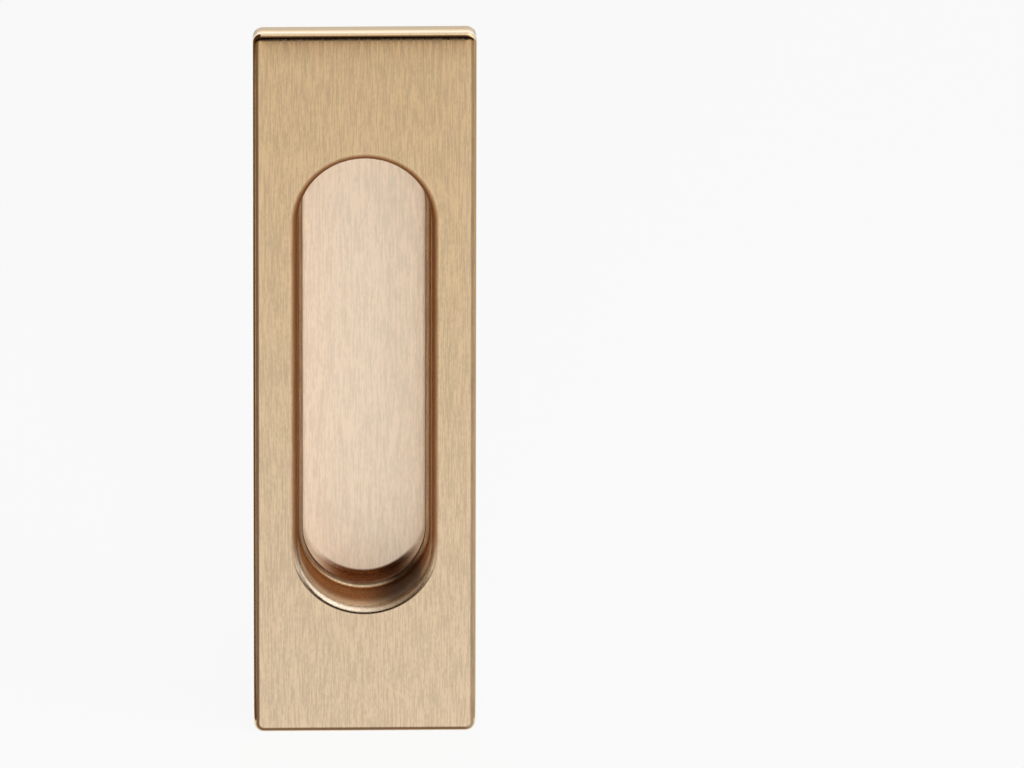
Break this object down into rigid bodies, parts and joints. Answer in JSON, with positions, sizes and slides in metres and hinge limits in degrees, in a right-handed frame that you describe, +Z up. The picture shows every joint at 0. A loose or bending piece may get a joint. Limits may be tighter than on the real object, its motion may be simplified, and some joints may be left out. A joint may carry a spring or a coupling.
{
  "type": "sliding door flush pull",
  "caption": "Upright rectangular flush pull: a satin brushed cover with a rolled oval recess, a deeper finger cup behind it, and a back frame screwed to the door.",
  "frame": {"origin": "the middle of the recess, on the plane of the door's face", "axes": "+X to the right seen from the room, +Y into the door, +Z up"},
  "size_m": [0.047, 0.0213, 0.159],
  "materials": {
    "cover_brass": "satin brushed, grain upright",
    "cup_brass": "satin brushed, grain upright",
    "frame_nylon": "moulded, fine matt texture",
    "screw_steel": "bright zinc plated",
    "clip_steel": "plain spring steel"
  },
  "bodies": {
    "root": {"cover_plate": "cover_brass", "finger_cup": "cup_brass", "mounting_frame": "frame_nylon", "fixing_screw_1": "screw_steel", "fixing_screw_2": "screw_steel", "cover_clip_1": "clip_steel", "cover_clip_2": "clip_steel", "cover_clip_3": "clip_steel", "cover_clip_4": "clip_steel"}
  },
  "joints": []
}
